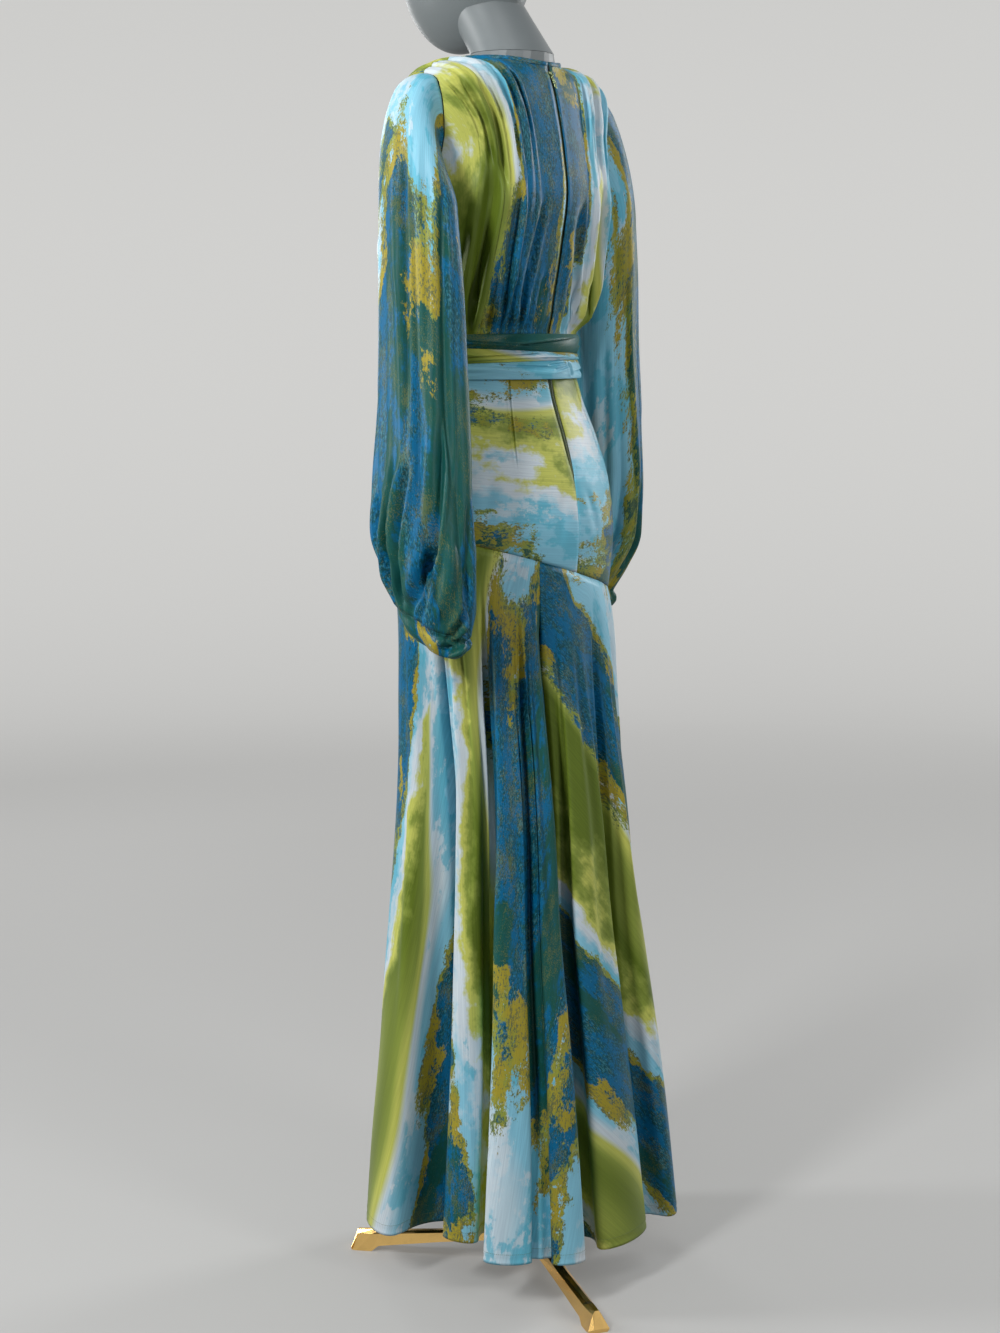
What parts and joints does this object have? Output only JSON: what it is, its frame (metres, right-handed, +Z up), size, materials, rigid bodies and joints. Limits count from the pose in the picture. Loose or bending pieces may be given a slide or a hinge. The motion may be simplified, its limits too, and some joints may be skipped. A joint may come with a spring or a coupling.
{
  "type": "evening gown on a dress form",
  "caption": "Floor-length gown with long full sleeves, gathered bodice, wound sash, fitted hip yoke and fluted skirt, on a limbless form with a tripod stand.",
  "frame": {"origin": "middle of the footprint, on the floor", "axes": "+Z up; the front of the gown faces -Y and the wearer's left is +X"},
  "size_m": [0.535, 0.4478, 1.856],
  "materials": {
    "bodice_cloth": "printed satin chiffon, gathered",
    "binding_cloth": "printed satin binding",
    "sleeve_cloth": "printed satin chiffon, full",
    "cuff_cloth": "printed satin chiffon, gathered in",
    "sash_cloth": "printed satin, folded double",
    "yoke_cloth": "printed satin, fitted",
    "skirt_cloth": "printed satin, fluted",
    "zip_tape_green": "woven tape with a fine coil",
    "zip_metal": "plated, smooth",
    "form_cover": "smooth painted shell",
    "brass": "polished"
  },
  "bodies": {
    "gown": {"bodice_back_left": "bodice_cloth", "bodice_back_right": "bodice_cloth", "bodice_front": "bodice_cloth", "cuff_left": "cuff_cloth", "cuff_right": "cuff_cloth", "form_head": "form_cover", "form_neck": "form_cover", "form_torso": "form_cover", "neck_binding": "binding_cloth", "sash_lower": "sash_cloth", "sash_middle": "sash_cloth", "sash_upper": "sash_cloth", "skirt_back_left": "skirt_cloth", "skirt_back_right": "skirt_cloth", "skirt_front": "skirt_cloth", "sleeve_left": "sleeve_cloth", "sleeve_right": "sleeve_cloth", "stand_hub": "brass", "stand_leg_1": "brass", "stand_leg_2": "brass", "stand_leg_3": "brass", "stand_pole": "brass", "yoke_back_left": "yoke_cloth", "yoke_back_right": "yoke_cloth", "yoke_front": "yoke_cloth", "zip_slider": "zip_metal", "zip_tape": "zip_tape_green"},
    "zip_pull": {"zip_pull": "zip_metal"}
  },
  "joints": [
    {"name": "zip_pull_hinge", "type": "hinge", "parent": "gown", "child": "zip_pull", "pos_m": [-0.0015, 0.03169, 1.583], "axis": [1, 0, 0], "range_deg": [0, 140]}
  ]
}
